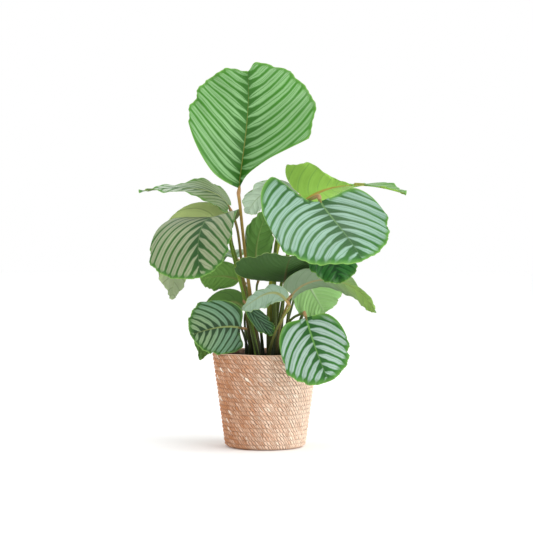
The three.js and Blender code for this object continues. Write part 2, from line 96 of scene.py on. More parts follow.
# The leaves, set out as in the part: x and z as the viewer sees them on the plane of the pot's
# axis, and y the depth before or behind it. rib holds the midrib's four Bezier points, face the
# way that the upper face looks from base to tip, and way and crown where the stem goes. half,
# fold, skew, round, lobe, ear, pinch and dip are given for the right and the left half of a blade
# as it grows: skew sets where it is widest, round how full its base is, lobe and ear how it
# reaches behind its base, pinch how soon it narrows, and dip how far out the tip's notch reaches.
# ragged is how far the margin wanders, wave the height, count and start of its waves, and room
# what is left free between stem and blade. What a leaf leaves out is as in PLAIN_LEAF.
LEAVES = [
    dict(name="top", size="large", half=(98, 118),
         rib=((-44, -10, 436), (-38, -30, 500), (-22, -30, 570), (-31, 20, 647)),
         face=((0, -1, 0.25), (0, -1, 0.4)), fold=((42, 5, 0), (62, 5, 0)), notch=17, dip=(0.2, 0.08),
         round=(0.5, -0.6), skew=(1, 1.1), wave=(3, 3, 0.1), ragged=2.6, crown=(-8, -6),
         way=((-30, -4, 290), (-40, -12, 380)), radius=2.6),
    dict(name="left_high", size="medium", half=(34, 40),
         rib=((-61, 44, 404), (-76, 30, 436), (-116, 4, 442), (-214, -20, 431)),
         face=((0, -0.1, 1), (-0.05, -0.3, 1)), fold=((-52, -20, 0), (40, 14, 0)), lobe=(0.03, 0.07),
         wave=(3, 3, 0), skew=(2.2, 2.8), pinch=(4, 2.2), crown=(-20, 2),
         way=((-38, 22, 290), (-46, 44, 360)), radius=2.3, room=0.35),
    dict(name="left_front", size="large", half=(57, 84),
         rib=((-66, 35, 372), (-84, 15, 406), (-128, -50, 388), (-109, -78, 286)),
         face=((-0.35, -0.3, 0.9), (-0.05, -1, 0.1)), fold=((20, 5, 0), (0, 0, -6)), skew=(0.86, 0.5),
         round=(1, 0.8), crown=(-12, -19), way=((-26, -16, 213), (-51, 0, 310)), radius=2.5),
    dict(name="left_back", size="medium", half=(50, 42),
         rib=((-66, 62, 364), (-95, 70, 397), (-150, 85, 383), (-158, 60, 248)),
         face=((-0.3, 0.6, 0.7), (-0.6, 0.8, 0.1)), skew=(1.1, 1.4),
         pinch=(1.8, 1.3), crown=(-23, 16), way=((-30, 34, 240), (-48, 54, 315)), radius=2.2),
    dict(name="left_small", size="small", half=(26, 26),
         rib=((-44, 62, 280), (-65, 62, 292), (-90, 58, 288), (-110, 55, 282)),
         face=((0, 0.9, 0.4), (0, 0.9, 0.3)), crown=(-13, 26),
         way=((-22, 40, 200), (-34, 56, 250)), radius=1.9),
    dict(name="low_left", size="medium", half=(44, 47),
         rib=((-42, -34, 200), (-65, -50, 206), (-98, -60, 199), (-126, -66, 187)),
         face=((-0.1, -1, 0.15), (-0.1, -1, 0.15)), lobe=(0.24, 0.06),
         crown=(-26, -14), way=((-27, -20, 170), (-32, -28, 190)), radius=1.9, room=0.2),
    dict(name="low_left_back", size="medium", half=(24, 33),
         rib=((-38, 20, 236), (-62, 28, 260), (-97, 32, 232), (-110, 10, 145)),
         face=((0, 1, 0.2), (-0.2, 1, 0.2)), skew=(1.4, 1.4),
         pinch=(1.5, 1.6), crown=(-33, 4), way=((-33, 8, 180), (-35, 15, 214)), radius=1.9),
    dict(name="right_front", size="broad", half=(79, 117),
         rib=((93, -50, 414), (104, -66, 392), (135, -140, 365), (165, -176, 314)),
         face=((-0.1, -0.75, 0.6), (0, -0.6, 0.75), (0.1, -0.7, 0.7)), fold=((4, 5, 0), (22, 8, 0)),
         lobe=(0.15, 0.47), ear=(0.6, 0.4), skew=(1.04, 0.76), crown=(13, -12),
         way=((15, 7, 280), (26, -10, 370)), radius=2.8, room=1.1),
    dict(name="right_back", size="large", half=(56, 71),
         rib=((67, 60, 415), (105, 72, 448), (165, 85, 452), (238, 80, 426)),
         face=((-0.4, 1, 0.2), (0, -0.1, 1), (0.1, -0.3, 1)), fold=((0, 0, 0), (20, 0, 0)),
         skew=(0.9, 4), round=(1, 0.05), lobe=(0.03, 0.03), pinch=(1, 9), ragged=5, crown=(11, 5),
         way=((12, 26, 290), (32, 48, 370)), radius=4.2, room=0.3),
    dict(name="pale_back", size="medium", half=(25, 25),
         rib=((55, 100, 425), (25, 110, 441), (-12, 105, 438), (-30, 90, 393)),
         face=((0, 0.5, 1), (0, 0.8, 0.5)), crown=(24, 20),
         way=((36, 60, 300), (52, 90, 380)), radius=2),
    dict(name="centre_up", size="small", half=(26, 22),
         rib=((-14, 52, 290), (-20, 58, 330), (-12, 62, 368), (4, 58, 396)),
         face=((0, 1, 0), (0, 1, 0)), crown=(-3, 13),
         way=((-8, 30, 200), (-14, 48, 250)), radius=1.9),
    dict(name="centre_dark", size="medium", half=(46, 88),
         rib=((33, 0, 278), (34, -25, 292), (36, -45, 308), (44, -60, 322)),
         face=((0, 0.62, 0.78), (0, 0.62, 0.78)), fold=((24, 16, 8), (0, -4, -4)), crown=(5, 23),
         way=((19, 17, 190), (28, 8, 240)), radius=2.2),
    dict(name="right_dark", size="small", half=(42, 42),
         rib=((95, 2, 345), (105, -33, 335), (118, -58, 305), (128, -68, 276)),
         face=((0.1, -0.8, 0.5), (0.1, -0.8, 0.5)), crown=(35, 14),
         way=((62, 58, 220), (92, 64, 300)), radius=2.1),
    dict(name="right_mid", size="medium", half=(36, 37),
         rib=((45, -20, 256), (70, -10, 292), (150, 0, 298), (188, -20, 226)),
         face=((-0.3, 0.7, 0.7), (0, 0.5, 1), (0.3, 0.6, 0.6)), fold=((25, 5, 0), (10, 0, 0)),
         skew=(1.5, 2.2), lobe=(0.1, 0.06), pinch=(1, 2.6), crown=(23, -14),
         way=((22, -19, 190), (34, -24, 230)), radius=2.1, room=0.3),
    dict(name="right_pale", size="small", half=(38, 48),
         rib=((70, 38, 280), (78, 41, 264), (90, 39, 245), (101, 30, 225)),
         face=((0.1, 1, 0.2), (0.1, 1, 0.2)), fold=((-6, -6, 0), (-6, -6, 0)), skew=(0.75, 0.75),
         crown=(30, 4), way=((36, 34, 200), (46, 66, 262)), radius=1.9),
    dict(name="grey_small", size="small", half=(12, 20),
         rib=((34, -60, 248), (16, -64, 272), (-10, -62, 256), (-39, -55, 231)),
         face=((0.1, 1, 0.1), (0.1, 1, 0.1)), skew=(2, 1.2),
         crown=(5, -29), way=((14, -48, 185), (33, -60, 222)), radius=1.8),
    dict(name="low_right", size="large", half=(53, 58),
         rib=((69, -92, 217), (78, -112, 186), (89, -124, 150), (108, -122, 109)),
         face=((-0.1, -1, 0.2), (-0.1, -1, 0)), lobe=(0.06, 0.09),
         crown=(24, -26), way=((34, -50, 200), (56, -78, 222)), radius=2.1),
    dict(name="inner_narrow", size="small", half=(13, 13),
         rib=((-30, -34, 236), (-20, -37, 222), (-5, -36, 206), (16, -33, 190)),
         face=((0, -1, 0.4), (0, -1, 0.4)), crown=(-6, -32),
         way=((-22, -36, 190), (-32, -34, 225)), radius=1.5),
    dict(name="back_high", size="medium", half=(55, 55),
         rib=((62, 122, 384), (80, 150, 402), (110, 194, 378), (120, 208, 324)),
         face=((0.3, 0.3, 1), (0.3, 1, 0.3)), crown=(14, 33),
         way=((28, 70, 280), (50, 108, 370)), radius=2.4),
    dict(name="back_left", size="medium", half=(48, 48),
         rib=((-50, 102, 318), (-75, 135, 343), (-112, 182, 338), (-132, 204, 284)),
         face=((-0.3, 0.3, 1), (-0.3, 1, 0.3)), crown=(-6, 38),
         way=((-24, 64, 235), (-40, 92, 292)), radius=2.3),
    dict(name="back_low_right", size="small", half=(38, 38),
         rib=((52, 80, 262), (66, 100, 290), (90, 150, 280), (105, 180, 235)),
         face=((0.2, 0.3, 1), (0.2, 1, 0.3)), crown=(27, 33),
         way=((36, 50, 200), (46, 72, 240)), radius=2),
    dict(name="back_low_left", size="small", half=(34, 34),
         rib=((-50, 72, 222), (-65, 90, 245), (-85, 130, 235), (-95, 155, 185)),
         face=((-0.2, 0.3, 1), (-0.2, 1, 0.3)), crown=(-26, 28),
         way=((-34, 42, 180), (-44, 62, 208)), radius=1.9),
]

PLAIN_LEAF = dict(fold=((10, 5, 0), (10, 5, 0)), skew=(0.86, 0.86), round=(1, 1), pinch=(1, 1),
                  lobe=(0.03, 0.03), ear=(0.5, 0.5), notch=0, dip=(0.13, 0.13), ragged=2,
                  wave=(2.5, 2.5, 0), room=0)

# ------------------------------------------------------------------------------ looks
# bands is how many silvery bands a blade has, as one number or one for its right and one for its
# left half, and fade the same for how many mm before the margin they fade out. lean is how the
# veins sweep forward on each half: at first, further towards the tip, and towards the margin.
# Colours are red, green and blue out of 255, or a pair of them from base to tip: ground and
# silver of the upper face, under of the underside, rib of the midrib, and stem and foot of the
# stem. lines is how strong the fine green lines in the bands are, and lime the bright margin.
# The colours are as they read in the studio light, and READ_LIGHT makes them albedo.
LOOKS = {
    "top": dict(bands=13, ground=(60, 130, 28), silver=(150, 204, 134), under=(150, 182, 120), lime=0.5,
                lean=((0.5, 0.25, 0.3), (0.25, 0.45, 0.3)), rib=(150, 150, 62), lines=0.8,
                stem=(158, 132, 66)),
    "left_high": dict(bands=8, ground=((90, 128, 60), (106, 150, 98)),
                      silver=((156, 178, 126), (226, 242, 220)), under=(122, 150, 84),
                      stem=(126, 112, 58), lean=((2.4, 0.5, 0.3), (2.4, 0.5, 0.3))),
    "left_front": dict(bands=9, ground=(54, 106, 38), silver=(174, 188, 146), under=(128, 140, 88),
                       lean=((0.55, 0.4, 0.4), (0.9, 0.4, 0.4)), rib=(110, 148, 84), stem=(112, 142, 48),
                       foot=(92, 114, 42)),
    # left_back's underside is brightened near its base as painted light, where left_front shades it
    "left_back": dict(bands=9, ground=(70, 110, 56), silver=(150, 176, 140),
                      under=((232, 255, 166), (216, 236, 186))),
    "left_small": dict(bands=8, ground=(70, 110, 56), silver=(150, 176, 140), under=(148, 206, 98)),
    "low_left": dict(bands=7.5, ground=(36, 78, 30), silver=((126, 172, 134), (150, 182, 132)),
                     under=(120, 140, 100)),
    "low_left_back": dict(bands=9, ground=(66, 100, 60), silver=(150, 176, 140), under=(116, 168, 78)),
    "right_front": dict(bands=(6.8, 9), fade=(4, 12), ground=(52, 116, 44), silver=(166, 208, 184),
                        under=(150, 180, 130), lean=((0.7, 0.4, 0.5), (0.15, 0.3, 0.55)),
                        rib=(120, 168, 96), lime=0.8),
    "right_back": dict(bands=11, ground=(96, 150, 76), silver=(136, 182, 110), under=(166, 222, 88),
                       rib=(190, 140, 60), stem=(150, 158, 56)),
    "pale_back": dict(bands=8, ground=(110, 150, 96), silver=(176, 200, 160), under=(230, 255, 228)),
    "centre_up": dict(bands=8, ground=(78, 112, 60), silver=(140, 166, 120), under=(122, 178, 84)),
    "centre_dark": dict(bands=10, ground=(52, 88, 44), silver=(140, 170, 140), under=(78, 118, 58),
                        rib=(110, 96, 56)),
    "right_dark": dict(bands=9, ground=(32, 92, 34), silver=(58, 128, 56), under=(110, 150, 90),
                       rib=(40, 96, 40)),
    "right_mid": dict(bands=9, ground=(120, 160, 100), silver=(176, 200, 160),
                      under=((160, 188, 150), (176, 222, 112)), rib=(196, 176, 116),
                      stem=(170, 150, 84)),
    # right_pale's underside is brightened past its own colour as painted light shining through it from
    # behind
    "right_pale": dict(bands=9, ground=(236, 272, 216), silver=(170, 200, 140), under=(214, 276, 176),
                       rib=(230, 255, 210)),
    "grey_small": dict(bands=7, ground=(110, 140, 100), silver=(160, 180, 150), under=(176, 208, 178),
                       rib=(190, 190, 108), stem=(176, 180, 92)),
    "low_right": dict(bands=7.6, fade=8, ground=(50, 120, 40), silver=(194, 224, 208),
                      under=(150, 178, 130), rib=(130, 190, 90), lime=0.7),
    "inner_narrow": dict(bands=4, ground=(26, 62, 34), silver=(98, 144, 104), under=(110, 140, 90),
                         rib=(60, 104, 60), lean=((3.2, 0.5, 0.3), (3.2, 0.5, 0.3))),
}
# the plain foot colour, near black, is painted shade of the crown
PLAIN_LOOK = dict(bands=10, ground=(80, 132, 66), silver=(156, 190, 148), under=(136, 164, 112),
                  rib=(168, 186, 104), stem=(98, 116, 46), foot=(28, 34, 14), fade=5, lines=0.45,
                  lime=0.3, lean=((0.3, 0.4, 0.4), (0.3, 0.4, 0.4)))
READ_LIGHT = 0.66
KNEE_PINK = (188, 142, 104)
COOL_TINT = (232, 238, 255)
WARM_TINT = (255, 255, 240)
LIME_MARGIN = (88, 144, 56)
BRIGHT_EDGE = (140, 188, 86)
PALE_EDGE = (176, 204, 120)
# TAN_STRAW and PALE_STRAW are the ends of the strands' tone: random strand colour plus the painted light
# that pales the basket's right side
TAN_STRAW = (188, 126, 80)
PALE_STRAW = (240, 216, 194)
BLEACHED_STRAW = (246, 230, 212)
# ROPE_GROOVE_SHADE is painted shade for the grooves between strands and rows
ROPE_GROOVE_SHADE = (104, 62, 38)
BASKET_SHADE = (34, 22, 14)
SOIL_DARK = (30, 22, 16)
SOIL_BROWN = (86, 62, 42)
SOIL_FIBRE = (104, 76, 50)
SOIL_GRAIN = (196, 186, 168)
POT_BLACK = (34, 30, 28)
POT_SCUFF = (70, 64, 58)

# veins, and points from the midrib to the margin, of each size of blade's mesh
GRIDS = {"broad": (130, 34), "large": (120, 30), "medium": (84, 22), "small": (64, 18)}


# ------------------------------------------------------------------------------ helpers
def paint(rgb):
    """A colour out of 255 as the linear red, green and blue that a shader takes."""
    c = np.asarray(rgb, float) / 255
    return tuple(np.where(c <= 0.04045, c / 12.92, ((c + 0.055) / 1.055) ** 2.4)) + (1.0,)


def unit(v):
    """Vectors divided by their lengths."""
    return v / np.linalg.norm(v, axis=-1, keepdims=True)


def set_out(point):
    """Slide a front-view point (x, depth, z) along the viewer's line of sight to its depth."""
    x, y, z = point
    return VIEWER + (np.array((x, 0, z)) - VIEWER) * (y - VIEWER[1]) / -VIEWER[1]


def along(ends, u):
    """Quadratic Bezier weights carry a base, a middle and a tip value along a leaf."""
    return (1 - u) ** 2 * ends[0] + 2 * u * (1 - u) * ends[1] + u * u * ends[2]


class Path:
    """A cubic Bezier curve a (1-t)^3 + 3 b t (1-t)^2 + 3 c t^2 (1-t) + d t^3, whose length is
    summed over 400 steps so that it can be read at shares of it."""

    def __init__(self, controls):
        self.p = [np.asarray(c, float) for c in controls]
        self.t = np.linspace(0, 1, 401)
        steps = np.linalg.norm(np.diff(self.at_t(self.t), axis=0), axis=-1)
        self.run = np.concatenate(([0], np.cumsum(steps)))
        self.length = self.run[-1]

    def at_t(self, t):
        """The points at parameters t."""
        t = np.asarray(t)[..., None]
        a, b, c, d = self.p
        return (1 - t) ** 3 * a + 3 * t * (1 - t) ** 2 * b + 3 * t * t * (1 - t) * c + t ** 3 * d

    def read(self, u):
        """The points and the directions at shares u of the length."""
        t = np.interp(np.asarray(u) * self.length, self.run, self.t)
        a, b, c, d = self.p
        w = t[..., None]
        slope = (1 - w) ** 2 * (b - a) + 2 * w * (1 - w) * (c - b) + w * w * (d - c)
        return self.at_t(t), unit(slope)


def grid_faces(rows, columns, around=False):
    """Four-sided faces between the rows and columns of a grid of points."""
    index = np.arange(rows * columns).reshape(rows, columns)
    if around:
        index = np.hstack((index, index[:, :1]))
    return np.stack((index[:-1, :-1], index[:-1, 1:], index[1:, 1:], index[1:, :-1]), -1).reshape(-1, 4)


def new_piece(name, points, faces, materials, slots=None, smooth_to=50, layers=None):
    """A mesh object from points in mm and faces, smooth up to the stated angle."""
    mesh = bpy.data.meshes.new(name)
    mesh.from_pydata(np.asarray(points) * 0.001, [], [f for part in faces for f in part.tolist()])
    for material in materials:
        mesh.materials.append(material)
    if slots is not None:
        mesh.polygons.foreach_set("material_index", np.asarray(slots, np.int32))
    mesh.polygons.foreach_set("use_smooth", np.ones(len(mesh.polygons), bool))
    mesh.set_sharp_from_angle(angle=math.radians(smooth_to))
    for key, values in (layers or {}).items():
        values = np.asarray(values, np.float32)
        if values.ndim == 1:
            mesh.attributes.new(key, "FLOAT", "POINT").data.foreach_set("value", values)
        else:
            mesh.attributes.new(key, "FLOAT_COLOR", "POINT").data.foreach_set("color", values.ravel())
    mesh.update()
    piece = bpy.data.objects.new(name, mesh)
    bpy.context.scene.collection.objects.link(piece)
    return piece


# ------------------------------------------------------------------------------ leaf blades
def rib_frame(path, face, s):
    """Where the midrib is s mm from the base, with the way that the upper face looks and the
    way to the left half. Behind the base it runs straight back."""
    u = np.clip(s / path.length, 0, 1)
    point, ahead = path.read(u)
    point = point + ahead * np.minimum(s, 0)[..., None]
    looks = [unit(np.array(f, float)) for f in face]
    if len(looks) == 2:
        looks.insert(1, (looks[0] + looks[1]) / 2)
    normal = along(looks, u[..., None])
    normal = unit(normal - ahead * np.sum(normal * ahead, -1, keepdims=True))
    return u, point, normal, np.cross(ahead, normal)


def blade_sheet(leaf, path, a, b):
    """The blade's middle sheet, a sheaf of veins. Vein a leaves the midrib at
    s0 = (length - notch) a and ends at the margin, s1 = length ((1 - cos theta) / 2)^skew along
    and t1 = half (sin theta)^pinch out, with theta from 84 to 180 degrees. The tip's notch takes
    notch exp(-(sin theta / dip)^2) off s1. Two slow sines of a make t1 wander and the product of
    two quick ones nibbles it. b runs from the right margin (-1) over the midrib (0) to the left
    margin (1), and carries s from s0 to s1 and t from 0 to t1, as a straight line blended by
    sweep with a quarter of an ellipse. Near the base s is less lobe (1 - a)^5 (1 - b^6), as a
    smooth step of |b| up to ear. Each half rises from the midrib at its fold angle, and the
    margin waves as height b^2 sin(2 pi (waves a + phase))."""
    right = b < 0
    reach = np.abs(b)

    def pick(pair):
        """The first of a pair on the right half, the second on the left."""
        return np.where(right, pair[0], pair[1])

    notch = leaf["notch"]
    half = pick(leaf["half"])
    theta = FIRST_VEIN + (math.pi - FIRST_VEIN) * a
    s0 = (path.length - notch) * a
    s1 = path.length * ((1 - np.cos(theta)) / 2) ** pick(leaf["skew"])
    s1 = s1 - notch * np.exp(-((np.sin(theta) / pick(leaf["dip"])) ** 2))
    wander = np.sin(TURN * (2.3 * a + pick((0.1, 0.6))))
    wander = wander + 0.7 * np.sin(TURN * (4.7 * a + pick((0.5, 0.2))))
    t1 = half * np.sin(theta) ** pick(leaf["pinch"])
    t1 = t1 + leaf["ragged"] * wander * np.sin(theta)
    nibble = np.sin(TURN * (11.3 * a + pick((0.2, 0.7)))) * np.sin(TURN * 5.9 * a + 1)
    nibble = nibble * np.minimum(1, half / SMALL_HALF) * np.minimum(1, 6 * np.sin(theta))
    t1 = t1 + MARGIN_NIBBLE * nibble
    sweep = pick(leaf["round"]) * (1 - 0.6 * np.sqrt(a))
    quarter = reach * math.pi / 2
    ear = np.minimum(1, reach / pick(leaf["ear"]))
    lobe = pick(leaf["lobe"]) * path.length * (1 - a) ** 5
    lobe = lobe * (1 - reach ** 6) * (ear * ear * (3 - 2 * ear)) ** 1.5
    s = s0 + (s1 - s0) * ((1 - sweep) * reach + sweep * (1 - np.cos(quarter))) - lobe
    t = t1 * ((1 - sweep) * reach + sweep * np.sin(quarter))
    u, point, normal, side = rib_frame(path, leaf["face"], s)

    fold = np.radians(pick((along(leaf["fold"][0], u), along(leaf["fold"][1], u))))
    height, waves, phase = leaf["wave"]
    wave = height * reach ** 2 * np.sin(TURN * (waves * a + phase + pick((0, 0.37))))
    wave = wave * np.minimum(1, 8 * a)
    out = t * np.cos(fold) - wave * np.sin(fold)
    up = t * np.sin(fold) + wave * np.cos(fold)
    sheet = point + side * (pick((-1, 1)) * out)[..., None] + normal * up[..., None]
    return sheet, normal, s / path.length, t / half


def blade_faces(points, normal, rows, columns):
    """The faces of the upper skin, the lower skin and the rim between them, and their material
    slots. A skin is a grid, one row to a vein, and a fan from its last row to the tip. The
    lower skin's points follow the upper's, and its faces are turned over."""
    tip = rows * columns
    count = tip + 1
    quads = grid_faces(rows, columns)
    last = np.arange((rows - 1) * columns, rows * columns)
    fan = np.stack((last[:-1], last[1:], np.full(columns - 1, tip)), -1)
    middle = quads[len(quads) // 2]
    facing = np.cross(points[middle[1]] - points[middle[0]], points[middle[3]] - points[middle[0]])
    if np.dot(facing, normal.reshape(-1, 3)[middle[0]]) < 0:
        quads, fan = quads[:, ::-1], fan[:, ::-1]
    loop = np.concatenate((
        np.arange(columns - 1, 0, -1), np.arange(rows) * columns,
        [tip], np.arange(rows - 1, 0, -1) * columns + columns - 1,
    ))
    following = np.roll(loop, -1)
    rim = np.stack((loop, following, following + count, loop + count), -1)
    # a rim face runs along the margin against the way that the upper skin's faces do
    edges = {tuple(e) for e in np.stack((quads, np.roll(quads, -1, 1)), -1).reshape(-1, 2).tolist()}
    if (int(loop[0]), int(following[0])) in edges:
        rim = rim[:, ::-1]
    faces = (quads, fan, quads[:, ::-1] + count, fan[:, ::-1] + count, rim)
    skin = len(quads) + len(fan)
    return faces, np.concatenate((np.zeros(skin), np.ones(skin), np.zeros(len(rim))))


def leaf_piece(leaf):
    """Two skins either side of the middle sheet, joined round the margin. With s and t as shares
    of the length and of the half width, a point lies at phase = bands (s - lean), where
    lean = (half / length) (t (first + further s) + outer t^2), and whole numbers of it are the
    veins. The skins are pleated as PLEAT cos(2 pi phase). The underside carries the midrib as a
    ridge exp(-(distance / width)^2), the margin ripples as |b|^5 sin(2 pi (RIPPLES a + 0.3 b)),
    and the blade thins to MARGIN_THICKNESS there."""
    name = leaf["name"]
    look = {**PLAIN_LOOK, **LOOKS.get(name, {})}
    veins, across = GRIDS[leaf["size"]]
    path = Path([set_out(p) for p in leaf["rib"]])
    a = np.linspace(0, 1, veins + 1)[:, None] * np.ones(2 * across + 1)
    step = np.arange(-across, across + 1) / across
    b = (np.sign(step) * np.abs(step) ** POINT_BUNCHING)[None, :] * np.ones((veins + 1, 1))
    reach = np.abs(b)
    sheet, face, ahead, aside = blade_sheet(leaf, path, a, b)
    ripple = MARGIN_RIPPLE * min(1, max(leaf["half"]) / SMALL_HALF) * reach ** 5
    ripple = ripple * np.sin(TURN * (RIPPLES * a + 0.3 * b)) * np.minimum(1, 8 * a)
    sheet = sheet + face * (ripple * np.minimum(1, 8 * (1 - a)))[..., None]

    def pick(value):
        """The same for a pair or for one value on both halves."""
        return np.where(b < 0, *(value if isinstance(value, tuple) else (value, value)))

    normal = np.cross(np.gradient(sheet, axis=0), np.gradient(sheet, axis=1))
    normal[-1] = normal[-2, across]
    normal = unit(normal)
    if np.sum(normal * face) < 0:
        normal = -normal
    vein_steps = np.linalg.norm(np.diff(sheet, axis=1), axis=-1)
    from_left = np.hstack((np.zeros((veins + 1, 1)), np.cumsum(vein_steps, axis=1)))
    to_rib = np.abs(from_left - from_left[:, across:across + 1])
    to_margin = np.minimum(from_left, from_left[:, -1:] - from_left)
    row_steps = np.linalg.norm(np.diff(sheet, axis=0), axis=-1)
    from_base = np.vstack((np.zeros((1, 2 * across + 1)), np.cumsum(row_steps, axis=0)))
    edge = np.minimum(to_margin, from_base + 60 * (1 - np.minimum(1, reach * 8)))
    half = pick(leaf["half"])
    first, further, outer = (pick(pair) for pair in zip(*look["lean"]))
    lean = half / path.length * (aside * (first + further * ahead) + outer * aside ** 2)
    phase = pick(look["bands"]) * (ahead - lean) + pick((0.0, 0.45))

    pleat = PLEAT * np.cos(TURN * phase) * np.sin(math.pi * np.minimum(1, reach * 1.05)) ** 0.7
    ridge = leaf["radius"] * RIB_RIDGE * (1 - a) ** 0.8 + RIB_TIP
    ridge = ridge * np.exp(-((to_rib / (leaf["radius"] * (1 - 0.7 * a))) ** 2))
    thick = (MARGIN_THICKNESS + (BLADE_THICKNESS - MARGIN_THICKNESS) * np.minimum(1, edge / 4)) / 2
    upper = sheet + normal * (thick - pleat + 0.12 * ridge)[..., None]
    lower = sheet - normal * (thick + pleat + ridge)[..., None]

    rows, columns = veins, 2 * across + 1

    def packed(grid):
        """A skin's values in one list: all rows but the last, which is one point, the tip."""
        return np.concatenate((grid[:-1].reshape(rows * columns, -1), grid[-1, across].reshape(1, -1)))

    def both(grid):
        """Values for the points of the upper and the lower skin."""
        return np.tile(packed(grid * np.ones_like(a)).ravel(), 2)

    onward = both(np.clip((a - 0.3) / 0.35, 0, 1))[:, None]

    def tinted(rgb):
        """A colour, or one that turns into another from base to tip, as albedo at each point."""
        at_base, at_tip = rgb if isinstance(rgb[0], tuple) else (rgb, rgb)
        return READ_LIGHT * (np.array(paint(at_base)) * (1 - onward) + np.array(paint(at_tip)) * onward)

    points = np.concatenate((packed(upper), packed(lower)))
    faces, slots = blade_faces(points, normal, rows, columns)
    layers = dict(
        phase=both(phase), reach=both(reach), edge=both(edge), to_rib=both(to_rib), length=both(a),
        fade=both(pick(look["fade"])), spread=both(to_rib / (0.3 * half)),
        lines=both(look["lines"]), lime=both(look["lime"]),
        ground=tinted(look["ground"]), silver=tinted(look["silver"]), under=tinted(look["under"]),
        rib_tint=tinted(look["rib"]),
    )
    piece = new_piece("blade_" + name, points, faces, (BLADE_FACE, BLADE_BACK), slots, 50, layers)
    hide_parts("leaf_" + name)
    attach(piece, "root")


# ------------------------------------------------------------------------------ stems
def handle(a, b, c, d):
    """The Bezier handle beside a, of a curve from a to d that passes b a third and c two thirds
    of the way along."""
    return -5 / 6 * a + 3 * b - 1.5 * c + d / 3


def stem_piece(leaf):
    """Rings carried along the stem's path: a cubic Bezier from the crown through two way
    points to the knee, then the knee's bend into the blade, and a blunt end inside the blade.
    The radius falls from FOOT_SWELL times the stem's at the foot to 1 at 0.6 of the way up,
    with a sheath's groove r (1 - 0.2 exp(-(angle / 0.4)^2)) up the lower half, and swells by a
    fifth in the knee. The colour turns from the foot's to the stem's between 160 and 280 mm up,
    and to pink in the knee; the near-black foot colour of most stems is painted shade of the crown."""
    look = {**PLAIN_LOOK, **LOOKS.get(leaf["name"], {})}
    base, into = (v[0] for v in Path([set_out(p) for p in leaf["rib"]]).read(np.zeros(1)))
    knee = base - into * KNEE
    end = base - into * (STEM_END_GAP + leaf["room"])
    start = np.array((*leaf["crown"], SOIL_TOP - STEM_DEPTH), float)
    one, two = (set_out(p) for p in leaf["way"])

    sweep = Path((start, handle(start, one, two, knee), handle(knee, two, one, start), knee))
    u = np.linspace(0, 1, 45)
    low, low_ahead = sweep.read(u)
    bend = Path((knee, knee + low_ahead[-1] * KNEE / 3, end - into * KNEE / 3, end))
    v = np.linspace(0, 1, 15)[1:]
    high, high_ahead = bend.read(v)
    blunt_end = ((1.2, 0.95), (3.5, 0.8), (6.0, 0.45))
    last = end + into * np.array([[run] for run, _ in blunt_end])
    centre = np.concatenate((low, high, last))
    ahead = np.concatenate((low_ahead, high_ahead, np.tile(into, (len(last), 1))))
    radius = leaf["radius"] * np.concatenate((
        np.interp(u, (0, 0.6, 0.93, 1), (FOOT_SWELL, 1, 1, KNEE_SWELL)),
        (KNEE_SWELL - (KNEE_SWELL - 1) * v) * (1 + 0.2 * np.sin(math.pi * v)),
        [share for _, share in blunt_end],
    ))
    share = np.concatenate((u * 0.9, 0.9 + 0.1 * v, np.ones(len(last))))

    across = unit(np.array((0, 1.0, 0)) - ahead * ahead[:, 1:2])
    other = np.cross(ahead, across)
    turn = np.arange(STEM_SIDES) / STEM_SIDES * TURN
    groove = 0.2 * np.exp(-(((turn - math.pi) / 0.4) ** 2)) * np.clip(1.4 - 2.8 * share, 0, 1)[:, None]
    ring = radius[:, None] * (1 - groove)
    points = (centre[:, None] + across[:, None] * (ring * np.cos(turn))[..., None]
              + other[:, None] * (ring * np.sin(turn))[..., None]).reshape(-1, 3)
    rows = len(centre)
    caps = (np.arange(STEM_SIDES)[None, ::-1], np.arange(STEM_SIDES)[None] + (rows - 1) * STEM_SIDES)
    quads = grid_faces(rows, STEM_SIDES, around=True)

    green, brown, pink = (np.array(paint(rgb)) for rgb in (look["stem"], look["foot"], KNEE_PINK))
    # towards the foot the stem takes its foot colour, for most leaves near black: painted shade of the
    # crown
    to_foot = np.clip(1 - (centre[:, 2] - 160) / 120, 0, 1)[:, None] * 0.95
    rosy = np.clip((share - 0.86) / 0.05, 0, 1) * np.clip((1.0 - share) / 0.02, 0.35, 1)
    rosy = 0.7 * rosy[:, None]
    colour = green * (1 - to_foot) + brown * to_foot
    colour = colour * (1 - rosy) + pink * rosy
    layers = dict(tint=np.repeat(colour, STEM_SIDES, axis=0), share=np.repeat(share, STEM_SIDES),
                  turn=np.tile(turn, rows))
    piece = new_piece("petiole_" + leaf["name"], points, (quads, *caps), (STEM_SKIN,), None, 60, layers)
    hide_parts("stem_" + leaf["name"])
    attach(piece, "root")


# ------------------------------------------------------------------------------ basket and soil
def basket_cone(z):
    """The basket's outer radius at height z."""
    return BASKET_FOOT_RADIUS + (BASKET_RIM_RADIUS - BASKET_FOOT_RADIUS) * z / BASKET_HEIGHT


def rim_lift(turn, z):
    """How far the uneven rim is lifted or dropped: two sines of the turn, dying away below it."""
    lift = 0.5 * np.sin(TURN * (3 * turn + 0.2)) + 0.3 * np.sin(TURN * (7 * turn + 0.6))
    return lift * np.clip(z / BASKET_HEIGHT, 0, 1) ** 8


